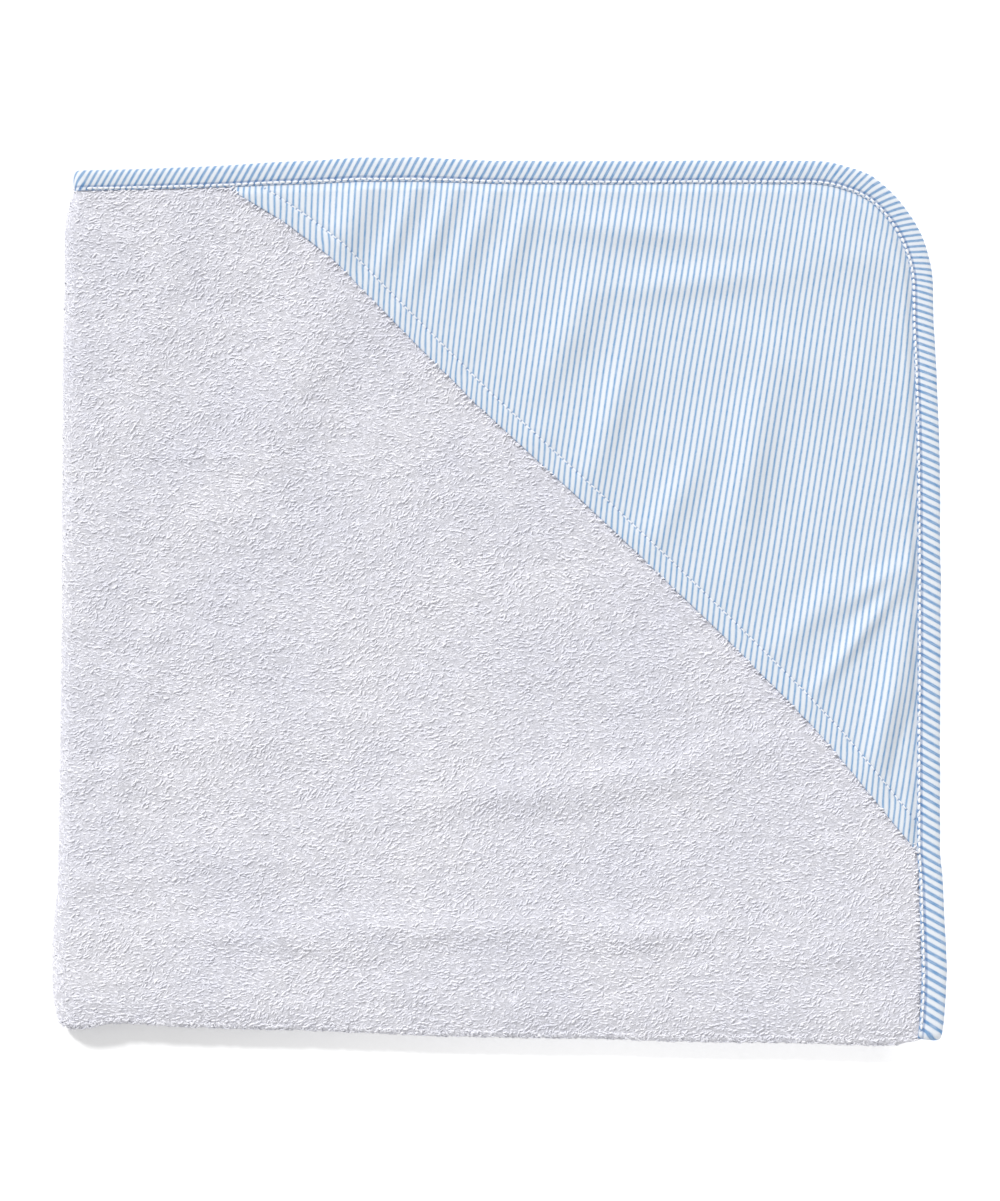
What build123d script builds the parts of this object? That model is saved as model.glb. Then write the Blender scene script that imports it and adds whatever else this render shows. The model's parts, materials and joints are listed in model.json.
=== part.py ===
"""Hooded baby towel, folded in quarters and lying on its face-down back quarter.

One square of terry is folded twice, so four quarters lie one on another. From the top they are the hood
quarter, the lower right, the lower left and the upper left. A bias binding runs round the free edges, and
a striped cotton hood is sewn across the rounded corner of the top quarter. +X is right, +Y is away from
the bottom fold and +Z is up. The origin is the middle of the folded towel, on the surface it lies on.
"""

from build123d import *
import math
import os

os.makedirs("parts", exist_ok=True)

# Driving dimensions, in millimetres.
folded_side = 380.0  # side of the folded towel; spread out it is twice this
terry_thickness = 3.0
layer_gap = 0.3  # air between two quarters
corner_radius = 56.0  # outer edge of the binding at a rounded corner
binding_width = 10.0
cotton_thickness = 0.5  # woven cotton of the binding and the hood
binding_inset = 0.25  # how far the bound edge is pressed in below the loops, each side
thread_width = 0.6
thread_height = 0.2
thread_from_edge = 1.5  # stitching line to the inner edge of the binding
hood_top_leg = 299.0  # hood along the top binding, from the inner corner
hood_side_leg = 289.0  # hood along the side binding, from the inner corner
hem_width = 9.0
hem_layers = 2  # cloth of the hood turned under at the hem
seam_width = 8.0  # hood cloth caught inside the binding
flap_gap = 0.3  # hood flap to the parts that it lifts away from

# Worked out from them.
half_side = folded_side / 2
pitch = terry_thickness + layer_gap
layer_count = 4
stack_height = layer_count * terry_thickness + (layer_count - 1) * layer_gap
pair_radius = (2 * terry_thickness + layer_gap) / 2
inner_radius = layer_gap / 2
outer_radius = stack_height / 2
outer_bore = outer_radius - terry_thickness
left_centre = -half_side + outer_radius
bottom_centre = -half_side + pair_radius
left_edge = left_centre + layer_gap
bottom_edge = bottom_centre + layer_gap
inner_edge = half_side - binding_width
fold_half_length = math.pi * (pair_radius + inner_radius) / 2 / 2
layer_bottom = [(layer_count - 1 - i) * pitch for i in range(layer_count)]
hood_bottom = stack_height + layer_gap
hood_panel_top = hood_bottom + cotton_thickness
hem_top = hood_bottom + hem_layers * cotton_thickness

quarters = ["hood_quarter", "lower_right", "lower_left", "upper_left"]
face_up = [True, False, True, False]  # whether the hooded face of the cloth looks up


def quarter_face(inset):
    """A quarter seen from above, drawn in by inset from its two bound edges."""
    edge = half_side - inset
    radius = corner_radius - inset
    with BuildSketch() as face:
        with BuildLine():
            Line((left_edge, bottom_edge), (edge, bottom_edge))
            Line((edge, bottom_edge), (edge, edge - radius))
            RadiusArc((edge, edge - radius), (edge - radius, edge), -radius)
            Line((edge - radius, edge), (left_edge, edge))
            Line((left_edge, edge), (left_edge, bottom_edge))
        make_face()
    return face.sketch


def save(piece, name):
    """Labels a finished piece and writes it as its own file."""
    piece.part.label = name
    export_step(piece.part, f"parts/{name}.step")


outline = quarter_face(0)
terry_outline = quarter_face(binding_width)
web_outline = quarter_face(cotton_thickness)
tongue_outline = quarter_face(cotton_thickness + layer_gap / 2)
thread_outer = quarter_face(binding_width - thread_from_edge - thread_width / 2)
thread_inner = quarter_face(binding_width - thread_from_edge + thread_width / 2)
seam_inner = quarter_face(cotton_thickness + seam_width)

# The hood's hemmed edge is a straight cut from the top binding to the side binding.
hem_start = Vector(inner_edge - hood_top_leg, inner_edge)
hem_end = Vector(inner_edge, inner_edge - hood_side_leg)
hem_along = (hem_end - hem_start).normalized()
hem_inward = Vector(-hem_along.Y, hem_along.X)
hem_plane = Plane(origin=hem_start, x_dir=hem_along, z_dir=hem_inward)
fold_line_plane = hem_plane.offset(hem_width)

# Four quarters: the terry with its thin edge, the binding folded over that edge, and its stitching.
for i, name in enumerate(quarters):
    low = layer_bottom[i]
    # The hood's cloth is caught in the binding of the top quarter, which makes that binding thicker.
    extra = cotton_thickness + binding_inset if i == 0 else 0.0
    binding_low = low + binding_inset
    binding_high = low + terry_thickness - binding_inset + extra
    tongue_low = binding_low + cotton_thickness
    tongue_high = low + terry_thickness - binding_inset - cotton_thickness

    with BuildPart() as terry:
        with BuildSketch(Plane.XY.offset(low)):
            add(terry_outline)
        extrude(amount=terry_thickness)
        with BuildSketch(Plane.XY.offset(tongue_low)):
            add(tongue_outline)
        extrude(amount=tongue_high - tongue_low)
    save(terry, f"terry_{name}")

    with BuildPart() as binding:
        with BuildSketch(Plane.XY.offset(binding_low)):
            add(outline)
            add(terry_outline, mode=Mode.SUBTRACT)
        extrude(amount=binding_high - binding_low)
        with BuildSketch(Plane.XY.offset(tongue_low)):
            add(web_outline)
            add(terry_outline, mode=Mode.SUBTRACT)
        channel = binding_high - cotton_thickness - tongue_low
        extrude(amount=channel, mode=Mode.SUBTRACT)
    save(binding, f"binding_{name}")

    thread_low = binding_high if face_up[i] else binding_low - thread_height
    with BuildPart() as stitching:
        with BuildSketch(Plane.XY.offset(thread_low)):
            add(thread_outer)
            add(thread_inner, mode=Mode.SUBTRACT)
        extrude(amount=thread_height)
    save(stitching, f"binding_stitching_{name}")


def fold_wrap(plane, centre, length, outer, bore, start_angle, sweep_angle):
    """Cloth going round a fold: part of a ring in a plane across the fold, drawn out along it."""
    first = centre + Vector(math.cos(start_angle), math.sin(start_angle)) * outer
    middle_angle = start_angle + sweep_angle / 2
    middle = centre + Vector(math.cos(middle_angle), math.sin(middle_angle)) * outer
    end_angle = start_angle + sweep_angle
    last = centre + Vector(math.cos(end_angle), math.sin(end_angle)) * outer
    first_in = centre + Vector(math.cos(start_angle), math.sin(start_angle)) * bore
    middle_in = centre + Vector(math.cos(middle_angle), math.sin(middle_angle)) * bore
    last_in = centre + Vector(math.cos(end_angle), math.sin(end_angle)) * bore
    with BuildPart() as wrap:
        with BuildSketch(plane):
            with BuildLine():
                ThreePointArc(first, middle, last)
                Line(last, last_in)
                ThreePointArc(last_in, middle_in, first_in)
                Line(first_in, first)
            make_face()
        extrude(amount=length)
    return wrap


# The folds at the bottom join each upper quarter of a pair to the one under it.
across_bottom = Plane(origin=(left_edge, 0, 0), x_dir=(0, 1, 0), z_dir=(1, 0, 0))
across_bottom_bound = Plane(origin=(inner_edge, 0, 0), x_dir=(0, 1, 0), z_dir=(1, 0, 0))
bottom_length = inner_edge - left_edge
for pair, name in enumerate(["bottom_fold_upper", "bottom_fold_lower"]):
    centre = Vector(bottom_centre, layer_bottom[2 * pair] - layer_gap / 2)
    fold = fold_wrap(
        across_bottom, centre, bottom_length, pair_radius, inner_radius, math.pi / 2, math.pi
    )
    save(fold, name)
    bound_radius = pair_radius - binding_inset
    bound = fold_wrap(
        across_bottom_bound, centre, binding_width, bound_radius, inner_radius, math.pi / 2, math.pi
    )
    save(bound, f"binding_{name}")

# The folds at the left join the two pairs: the inner one goes from the second quarter to the third,
# and the outer one from the top quarter to the lowest, where it is two halves that part when it opens.
across_left = Plane(origin=(0, bottom_edge, 0), x_dir=(1, 0, 0), z_dir=(0, -1, 0))
across_left_bound = Plane(origin=(0, inner_edge, 0), x_dir=(1, 0, 0), z_dir=(0, -1, 0))
left_length = inner_edge - bottom_edge
left_middle = Vector(left_centre, stack_height / 2)
left_folds = [
    ("left_fold_inner", pair_radius, inner_radius, math.pi / 2, math.pi),
    ("left_fold_outer_top", outer_radius, outer_bore, math.pi / 2, math.pi / 2),
    ("left_fold_outer_bottom", outer_radius, outer_bore, math.pi, math.pi / 2),
]
for name, outer, bore, start_angle, sweep_angle in left_folds:
    fold = fold_wrap(across_left, left_middle, -left_length, outer, bore, start_angle, sweep_angle)
    save(fold, name)
    bound_outer = outer - binding_inset
    bound = fold_wrap(
        across_left_bound, left_middle, -binding_width, bound_outer, bore, start_angle, sweep_angle
    )
    save(bound, f"binding_{name}")

# The hood: the strip of it inside the binding, the flap, and the hem along the flap's free edge.
with BuildPart() as seam_allowance:
    seam_low = layer_bottom[0] + terry_thickness - binding_inset - cotton_thickness
    with BuildSketch(Plane.XY.offset(seam_low)):
        add(tongue_outline)
        add(seam_inner, mode=Mode.SUBTRACT)
    extrude(amount=cotton_thickness)
    split(bisect_by=hem_plane, keep=Keep.TOP)
save(seam_allowance, "hood_seam_allowance")

flap_outline = quarter_face(binding_width + flap_gap)

with BuildPart() as hood_panel:
    with BuildSketch(Plane.XY.offset(hood_bottom)):
        add(flap_outline)
    extrude(amount=cotton_thickness)
    split(bisect_by=fold_line_plane, keep=Keep.TOP)
save(hood_panel, "hood_panel")

with BuildPart() as hood_hem:
    with BuildSketch(Plane.XY.offset(hood_bottom)):
        add(flap_outline)
    extrude(amount=hem_top - hood_bottom)
    split(bisect_by=hem_plane, keep=Keep.TOP)
    split(bisect_by=fold_line_plane, keep=Keep.BOTTOM)
save(hood_hem, "hood_hem")

with BuildPart() as hem_stitching:
    with BuildSketch(Plane.XY.offset(hem_top)):
        add(flap_outline)
    extrude(amount=thread_height)
    split(bisect_by=hem_plane.offset(hem_width - thread_from_edge), keep=Keep.TOP)
    split(bisect_by=hem_plane.offset(hem_width - thread_from_edge + thread_width), keep=Keep.BOTTOM)
save(hem_stitching, "hood_hem_stitching")

corner_reach = (corner_radius - binding_width - flap_gap) / math.sqrt(2)
hood_hinge = half_side - corner_radius + corner_reach
print("stack height", stack_height, "hood top", hem_top + thread_height)
print("hood hinge at", hood_hinge, hood_hinge, hood_panel_top)
print("bottom fold hinges at y", bottom_edge - fold_half_length, "z", layer_bottom[0] - layer_gap / 2)
print("left fold hinge at x", left_edge - fold_half_length, "z", layer_bottom[1] - layer_gap / 2)
print("lower bottom fold hinge z", layer_bottom[2] - layer_gap / 2)
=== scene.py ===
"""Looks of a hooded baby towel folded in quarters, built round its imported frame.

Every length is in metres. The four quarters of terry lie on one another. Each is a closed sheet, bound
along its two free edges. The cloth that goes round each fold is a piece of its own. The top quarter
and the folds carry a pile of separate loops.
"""

import json
import math

import bpy
import numpy as np
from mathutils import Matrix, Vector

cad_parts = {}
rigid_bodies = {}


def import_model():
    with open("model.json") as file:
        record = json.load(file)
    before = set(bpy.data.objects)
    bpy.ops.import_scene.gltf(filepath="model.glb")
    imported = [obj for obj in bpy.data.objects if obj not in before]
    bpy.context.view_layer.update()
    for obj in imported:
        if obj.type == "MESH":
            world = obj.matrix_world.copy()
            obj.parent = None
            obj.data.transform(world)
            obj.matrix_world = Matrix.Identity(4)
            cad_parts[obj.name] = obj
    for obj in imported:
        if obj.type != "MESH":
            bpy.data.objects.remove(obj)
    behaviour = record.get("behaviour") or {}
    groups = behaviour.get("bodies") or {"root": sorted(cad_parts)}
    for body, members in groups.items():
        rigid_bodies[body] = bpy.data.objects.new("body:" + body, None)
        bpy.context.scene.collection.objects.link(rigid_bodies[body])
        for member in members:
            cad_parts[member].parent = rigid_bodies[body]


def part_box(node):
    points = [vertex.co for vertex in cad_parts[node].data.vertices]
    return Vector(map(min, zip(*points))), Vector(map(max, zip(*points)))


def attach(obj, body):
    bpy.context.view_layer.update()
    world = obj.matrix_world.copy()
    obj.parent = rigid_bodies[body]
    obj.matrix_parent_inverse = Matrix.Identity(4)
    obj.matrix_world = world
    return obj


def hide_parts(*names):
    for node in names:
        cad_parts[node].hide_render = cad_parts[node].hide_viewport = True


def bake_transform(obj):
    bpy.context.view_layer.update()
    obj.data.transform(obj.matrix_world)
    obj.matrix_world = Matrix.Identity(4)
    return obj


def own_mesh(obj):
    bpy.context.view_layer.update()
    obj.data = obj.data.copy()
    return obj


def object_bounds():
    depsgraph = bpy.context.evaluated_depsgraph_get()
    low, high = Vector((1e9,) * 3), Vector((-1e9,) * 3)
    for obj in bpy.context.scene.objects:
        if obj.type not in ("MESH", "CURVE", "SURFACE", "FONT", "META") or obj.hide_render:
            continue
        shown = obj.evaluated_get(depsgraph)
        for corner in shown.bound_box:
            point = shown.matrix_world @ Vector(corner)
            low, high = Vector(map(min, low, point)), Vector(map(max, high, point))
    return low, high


bl_info = {
    "name": "Hooded baby towel",
    "version": (1, 0, 0),
    "blender": (4, 5, 0),
    "location": "View3D > Sidebar > Towel",
    "description": "Builds a folded terry towel with a striped hood, its binding and its stitching",
    "category": "Object",
}

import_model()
CAD_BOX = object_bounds()

MM = 0.001

# Places read from the frame: the quarters' edges, the binding's inner edge and the levels of the stack.
HALF = CAD_BOX[1].x
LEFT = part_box("terry_hood_quarter")[0].x
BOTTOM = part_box("terry_hood_quarter")[0].y
BINDING_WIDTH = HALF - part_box("bottom_fold_upper")[1].x
INNER = HALF - BINDING_WIDTH
STACK_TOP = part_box("terry_hood_quarter")[1].z
TERRY = STACK_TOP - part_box("terry_hood_quarter")[0].z
STACK_MIDDLE = STACK_TOP / 2
HOOD_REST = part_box("hood_panel")[0].z
HOOD_LEG_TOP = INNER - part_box("hood_hem")[0].x
HOOD_LEG_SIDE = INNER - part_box("hood_hem")[0].y

# Lines that the folds turn about, just inside the quarters so that the cloth overlaps a little.
FOLD_OVERLAP = 0.05 * MM
LEFT_CENTRE = LEFT + FOLD_OVERLAP
BOTTOM_CENTRE = BOTTOM + FOLD_OVERLAP

# The quarters from the top down: the body that each rides on, and whether the cloth's hooded face looks up.
QUARTERS = {
    "hood_quarter": ("hood_quarter", True),
    "lower_right": ("lower_right_quarter", False),
    "lower_left": ("lower_left_quarter", True),
    "upper_left": ("upper_left_quarter", False),
}

# How the laid edges wander from straight: the place along the edge and how far out the cloth lies
# there, both in millimetres from the middle and from the straight edge.
LEFT_WANDER = [
    (-190, 1.5), (-184, 2.5), (-174, 4.3), (-164, 4.9), (-151, 4.8), (-142, 4.2), (-131, 3.3),
    (-127, 2.6), (-108, 2.0), (-64, 1.4), (-40, 1.0), (108, 0.1), (134, -0.7), (150, -0.8),
    (160, -0.7), (167, -1.6), (173, -2.6), (178, -4.4),
]
BOTTOM_WANDER = [
    (-190, -4.0), (-178, -4.2), (-175.5, -5.0), (-168, -6.2), (-160, -6.4), (-141, -5.0),
    (-112, -4.0), (-86, -3.5), (-57, -2.2), (-26, -0.8), (0, -0.2), (43, 0.3), (60, 1.1), (86, 1.9),
    (130, 2.3), (147, 2.9), (162, 3.4), (172, 3.2), (181, 0.6),
]
RIGHT_WANDER = [
    (-188, 1.2), (-181, 2.2), (-171, 3.0), (-160, 3.4), (-150, 3.0), (-140, 2.5), (-130, 2.1),
    (-119, 1.6), (-108, 0.5), (-60, 0.5), (-36, 0.8), (16, 0.8), (57, 0.4), (78, -0.1), (99, -1.0),
    (120, -2.4), (134, -2.6), (151, -2.5), (165, -1.5), (175, -0.4), (184, -1.1),
]
TOP_WANDER = [
    (-184, -3.8), (-171, -3.6), (-150, -3.0), (-119, -1.8), (-98, -0.3), (-78, 0.6), (-60, 1.8),
    (-36, 1.8), (-22, 1.3), (-5, 0.5), (16, 0.2), (57, 0.1), (88, 0.4), (134, 0.2), (150, 0.2),
    (161, 1.2), (171, -1.0), (182, -4.0),
]
WANDER_REACH = 60 * MM

# The hood's free edge bows towards its corner: the share along the edge, and how many millimetres.
HEM_BOW = [
    (0.0, 0.0), (0.045, 3.6), (0.083, 6.4), (0.133, 8.8), (0.2, 8.0), (0.35, 6.8), (0.5, 8.5),
    (0.6, 9.0), (0.7, 9.0), (0.8, 8.4), (0.86, 7.0), (0.91, 4.5), (0.957, 1.9), (1.0, 0.0),
]
HEM_BOW_REACH = 130 * MM

# Distance of the hem's stitches from its sewn edge.
HEM_STITCHES_IN = 0.5 * MM

# Level at which the binding holds the hood's sewn edges.
SEWN_LEVEL = STACK_TOP - 0.45 * MM

# Rows of mesh points across the binding, as distances from its outer edge, and how full it is at each.
BINDING_COLUMNS = np.array([0, 0.25, 0.8, 1.8, 3.2, 4.8, 6.4, 7.3, 7.8, 8.3, 9.0, 9.6, 10.0]) * MM
BINDING_FULLNESS = [0, 0.42, 0.74, 0.95, 1.0, 0.97, 0.90, 0.80, 0.68, 0.62, 0.62, 0.60, 0.48]

# How far from the binding's outer edge the terry ends, and how far the pile goes on under the hood.
TERRY_INSET = 6.5 * MM
PILE_UNDER_HOOD = 20 * MM

# Seed of the unevenness that the top quarter, its folds and its pile share.
GROUND_SEED = 40

# Soft ridges and dips of the hood: x and y of the middle, direction in degrees, half length, half width
# and relative height, with the lengths in millimetres.
HOOD_CREASES = [
    (-66, 160, 64, 26, 9, 1.9),
    (-44, 160, 66, 26, 4.5, 1.2),
    (-28, 158, 66, 28, 4.5, 1.2),
    (-12, 156, 66, 26, 5, 1.1),
    (6, 152, 68, 24, 5, 0.9),
    (60, 160, -4, 44, 7, 1.3),
    (84, 138, 6, 40, 7, 1.2),
    (30, 116, 66, 26, 9, 1.4),
    (48, 80, 72, 30, 7, 1.5),
    (108, 60, 80, 36, 9, 1.8),
    (76, 44, 62, 26, 7, 1.2),
    (124, 104, -30, 30, 12, 1.0),
    (138, -2, 48, 22, 6, 1.2),
    (160, 6, 34, 20, 4.5, 1.3),
    (156, -14, 52, 30, 3.6, 1.6),
    (168, -44, 78, 28, 6, 2.0),
    (177, -64, 74, 20, 6, -1.2),
    (150, 150, -20, 26, 9, 0.7),
    (8, 60, 46, 18, 7, 0.9),
]

# Soft ridges of the terry, listed in the same way.
TERRY_WAVES = [
    (-20, -142, 1, 115, 6.5, 0.9),
    (-78, -150, -7, 30, 5, 0.6),
    (62, -146, 5, 32, 5, 0.7),
    (-140, -158, -20, 26, 7, 0.5),
    (130, -152, 4, 40, 8, 0.5),
    (34, -80, 5, 66, 8, 0.9),
    (96, -66, 8, 30, 6, 0.5),
    (-110, -60, 5, 40, 10, 0.6),
    (-90, 90, 70, 50, 16, 0.9),
    (-150, 120, 80, 50, 9, 0.5),
    (-160, -60, 78, 44, 7, 0.5),
    (-30, 10, -35, 40, 14, 0.6),
    (-120, -112, -6, 34, 8, 0.5),
]

# Height in millimetres of a ridge whose relative height is 1.
HOOD_CREASE_RISE = 1.9
TERRY_WAVE_RISE = 2.1

# ---------------------------------------------------------------- sizes and colours


class TowelSizes(bpy.types.PropertyGroup):
    """Sizes of the towel's cloth and stitching."""

    corner_radius: bpy.props.FloatProperty(
        name="Corner radius",
        description="Radius of a rounded corner at the outer edge of its binding",
        default=56 * MM,
        unit="LENGTH",
    )
    sheet_step: bpy.props.FloatProperty(
        name="Terry mesh step",
        description="Distance between mesh points on a quarter of terry",
        default=1.9 * MM,
        unit="LENGTH",
    )
    loop_length: bpy.props.FloatProperty(
        name="Loop length",
        description="Length of one lying loop of the pile",
        default=2.9 * MM,
        unit="LENGTH",
    )
    loop_height: bpy.props.FloatProperty(
        name="Loop height",
        description="Height of one loop of the pile over the ground cloth",
        default=0.86 * MM,
        unit="LENGTH",
    )
    loop_spacing: bpy.props.FloatProperty(
        name="Loop spacing",
        description="Distance between two neighbouring loops",
        default=1.42 * MM,
        unit="LENGTH",
    )
    yarn: bpy.props.FloatProperty(
        name="Pile yarn",
        description="Diameter of the pile yarn",
        default=0.66 * MM,
        unit="LENGTH",
    )
    stripe: bpy.props.FloatProperty(
        name="Stripe pitch",
        description="Distance from one blue stripe to the next",
        default=2.66 * MM,
        unit="LENGTH",
    )
    stitch: bpy.props.FloatProperty(
        name="Stitch length",
        description="Distance from one needle hole to the next",
        default=2.7 * MM,
        unit="LENGTH",
    )
    thread: bpy.props.FloatProperty(
        name="Thread",
        description="Width of the sewing thread",
        default=0.56 * MM,
        unit="LENGTH",
    )
    hem: bpy.props.FloatProperty(
        name="Hem width",
        description="Width of the hem along the hood's free edge",
        default=9.0 * MM,
        unit="LENGTH",
    )
    cotton: bpy.props.FloatProperty(
        name="Cotton thickness",
        description="Thickness of the woven cotton",
        default=0.45 * MM,
        unit="LENGTH",
    )
    binding_thread: bpy.props.FloatProperty(
        name="Binding thread",
        description="Width of the fuller thread that holds the binding",
        default=1.0 * MM,
        unit="LENGTH",
    )
    seam_line: bpy.props.FloatProperty(
        name="Binding stitching line",
        description="Distance from the binding's outer edge to its row of stitches",
        default=9.0 * MM,
        unit="LENGTH",
    )


class TowelColours(bpy.types.PropertyGroup):
    """Colours of the towel's cloth, thread and stage."""

    terry: bpy.props.FloatVectorProperty(
        name="Terry",
        description="Colour of the terry loops",
        default=(0.895, 0.89, 0.935),
        subtype="COLOR",
    )
    # Darker than the loops: painted shade between the loops, which the terry faces without loops carry too.
    ground: bpy.props.FloatVectorProperty(
        name="Terry ground",
        description="Colour of the ground cloth between the loops",
        default=(0.695, 0.69, 0.735),
        subtype="COLOR",
    )
    cotton_white: bpy.props.FloatVectorProperty(
        name="Cotton white",
        description="Colour of the white stripes",
        default=(0.77, 0.80, 0.84),
        subtype="COLOR",
    )
    cotton_blue: bpy.props.FloatVectorProperty(
        name="Cotton blue",
        description="Colour of the blue stripes",
        default=(0.125, 0.31, 0.57),
        subtype="COLOR",
    )
    # Darker than the hood's blue: partly the binding's own colour, partly painted shade of its tilted,
    # stitched face.
    binding_blue_and_shade: bpy.props.FloatVectorProperty(
        name="Binding blue",
        description="Colour of the blue stripes where the binding folds two layers of them",
        default=(0.085, 0.255, 0.51),
        subtype="COLOR",
    )
    thread: bpy.props.FloatVectorProperty(
        name="Thread",
        description="Colour of the sewing thread",
        default=(0.90, 0.91, 0.93),
        subtype="COLOR",
    )
    floor: bpy.props.FloatVectorProperty(
        name="Floor",
        description="Colour of the floor",
        default=(0.95, 0.95, 0.95),
        subtype="COLOR",
    )


def sizes():
    """The towel's sizes, as set in the scene."""
    return bpy.context.scene.towel_sizes


def colours():
    """The towel's colours, as set in the scene."""
    return bpy.context.scene.towel_colours


# ---------------------------------------------------------------- small shape helpers


def smooth_step(share):
    """A share eased in and out, from 0 to 1."""
    share = np.clip(share, 0.0, 1.0)
    return share * share * (3.0 - 2.0 * share)


def value_noise(x, y, cell_x, cell_y, seed):
    """Smooth random heights from -1 to 1, on cells of the given size."""
    cells = np.random.default_rng(seed).uniform(-1.0, 1.0, (257, 257))
    u = x / cell_x + 61.7
    v = y / cell_y + 87.3
    i = np.floor(u).astype(int)
    j = np.floor(v).astype(int)
    fu = smooth_step(u - i)
    fv = smooth_step(v - j)
    a = cells[i % 257, j % 257]
    b = cells[(i + 1) % 257, j % 257]
    c = cells[i % 257, (j + 1) % 257]
    d = cells[(i + 1) % 257, (j + 1) % 257]
    return (a * (1 - fu) + b * fu) * (1 - fv) + (c * (1 - fu) + d * fu) * fv


def ridges(table, x, y):
    """Summed relative height of soft ridges."""
    height = np.zeros_like(x)
    for middle_x, middle_y, turn, half_length, half_width, tall in table:
        turn = math.radians(turn)
        dx = x / MM - middle_x
        dy = y / MM - middle_y
        along = (dx * math.cos(turn) + dy * math.sin(turn)) / half_length
        across = (-dx * math.sin(turn) + dy * math.cos(turn)) / half_width
        height = height + tall * np.exp(-(along ** 2) - across ** 2)
    return height


def wander(table, places):
    """How far out the laid cloth lies at places along one of its edges."""
    along, out = np.array(table).T * MM
    return np.interp(places, along, out)


def lay(points):
    """Moves points of the straight-edged towel to where the laid cloth's edges wander."""
    moved = np.array(points, float)
    x = points[..., 0]
    y = points[..., 1]
    near_left = np.clip(1 - (x + HALF) / WANDER_REACH, 0, 1.1) ** 2
    near_bottom = np.clip(1 - (y + HALF) / WANDER_REACH, 0, 1.1) ** 2
    near_right = np.clip(1 - (HALF - x) / WANDER_REACH, 0, 1.1) ** 2
    near_top = np.clip(1 - (HALF - y) / WANDER_REACH, 0, 1.1) ** 2
    moved[..., 0] += wander(RIGHT_WANDER, y) * near_right - wander(LEFT_WANDER, y) * near_left
    moved[..., 1] += wander(TOP_WANDER, x) * near_top - wander(BOTTOM_WANDER, x) * near_bottom
    return moved


def round_corner(x, y, edge, radius):
    """Maps the square corner past (edge - radius) onto a quarter disc, and leaves the rest alone."""
    centre = edge - radius
    u = (x - centre) / radius
    v = (y - centre) / radius
    inside = (u > 0) & (v > 0)
    u_disc = np.where(inside, u * np.sqrt(np.clip(1 - v * v / 2, 0, 1)), u)
    v_disc = np.where(inside, v * np.sqrt(np.clip(1 - u * u / 2, 0, 1)), v)
    return centre + u_disc * radius, centre + v_disc * radius


def grid_faces(rows, columns, start=0):
    """Four-sided faces of a grid whose first point has the index start."""
    i, j = np.meshgrid(np.arange(rows - 1), np.arange(columns - 1), indexing="ij")
    a = start + i * columns + j
    return np.stack([a, a + columns, a + columns + 1, a + 1], -1).reshape(-1, 4)


def rim_of(rows, columns):
    """Indices round the rim of a grid, in order."""
    index = np.arange(rows * columns).reshape(rows, columns)
    return np.concatenate([index[0, :-1], index[:-1, -1], index[-1, :0:-1], index[:0:-1, 0]])


def mesh_piece(name, points, faces, layers=(), flat_from=None):
    """A smooth mesh object from points and equal-sided faces, turned so that its faces look outwards.

    Layers are pairs of a name and a flat place for every point. Faces past flat_from keep sharp edges.
    """
    points = np.asarray(points, float)
    corners = points[faces]
    fan = sum(
        np.einsum("ij,ij->i", corners[:, 0], np.cross(corners[:, k], corners[:, k + 1]))
        for k in range(1, faces.shape[1] - 1)
    )
    if fan.sum() < 0:
        faces = faces[:, ::-1]
    mesh = bpy.data.meshes.new(name)
    count, sides = faces.shape
    mesh.vertices.add(len(points))
    mesh.vertices.foreach_set("co", points.ravel())
    mesh.loops.add(count * sides)
    mesh.loops.foreach_set("vertex_index", faces.ravel().astype(np.int32))
    mesh.polygons.add(count)
    mesh.polygons.foreach_set("loop_start", np.arange(0, count * sides, sides, dtype=np.int32))
    smooth = np.ones(count, bool)
    if flat_from is not None:
        smooth[flat_from:] = False
    mesh.polygons.foreach_set("use_smooth", smooth)
    for layer_name, places in layers:
        layer = mesh.uv_layers.new(name=layer_name)
        layer.data.foreach_set("uv", places[faces.ravel()].ravel())
    mesh.update(calc_edges=True)
    if flat_from is not None:
        sharpen(mesh, faces[flat_from:])
    piece = bpy.data.objects.new(name, mesh)
    bpy.context.scene.collection.objects.link(piece)
    return piece


def sharpen(mesh, faces):
    """Marks the edges of some faces as sharp, so that a cut edge doesn't shade the cloth beside it."""
    ends = np.empty(len(mesh.edges) * 2, np.int64)
    mesh.edges.foreach_get("vertices", ends)
    ends = np.sort(ends.reshape(-1, 2), axis=1)
    pairs = np.sort(np.stack([faces, np.roll(faces, -1, axis=1)], -1).reshape(-1, 2), axis=1)
    size = len(mesh.vertices)
    sharp = np.isin(ends[:, 0] * size + ends[:, 1], pairs[:, 0] * size + pairs[:, 1])
    mesh.edges.foreach_set("use_edge_sharp", sharp)


def closed_sheet(name, face, back, layers=()):
    """A closed mesh between two grids of points of the same size, such as the two faces of a cloth.

    Layers hold a name, and a grid of flat places for the face and for the back.
    """
    rows, columns = face.shape[:2]
    count = rows * columns
    rim = rim_of(rows, columns)
    following = np.roll(rim, -1)
    walls = np.stack([rim, following, following + count, rim + count], -1)
    faces = np.concatenate([grid_faces(rows, columns), grid_faces(rows, columns, count)[:, ::-1], walls])
    points = np.concatenate([face.reshape(-1, 3), back.reshape(-1, 3)])
    flat = [(key, np.concatenate([a.reshape(-1, 2), b.reshape(-1, 2)])) for key, a, b in layers]
    return mesh_piece(name, points, faces, flat, len(faces) - len(walls))


def only(piece):
    """Makes a piece the only one selected, and active."""
    bpy.ops.object.select_all(action="DESELECT")
    piece.select_set(True)
    bpy.context.view_layer.objects.active = piece


def weld(piece):
    """Joins points that lie on one another, as where two faces of a cloth meet in an edge."""
    only(piece)
    bpy.ops.object.mode_set(mode="EDIT")
    bpy.ops.mesh.select_all(action="SELECT")
    bpy.ops.mesh.remove_doubles(threshold=2e-6)
    bpy.ops.mesh.normals_make_consistent(inside=False)
    bpy.ops.object.mode_set(mode="OBJECT")


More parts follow.
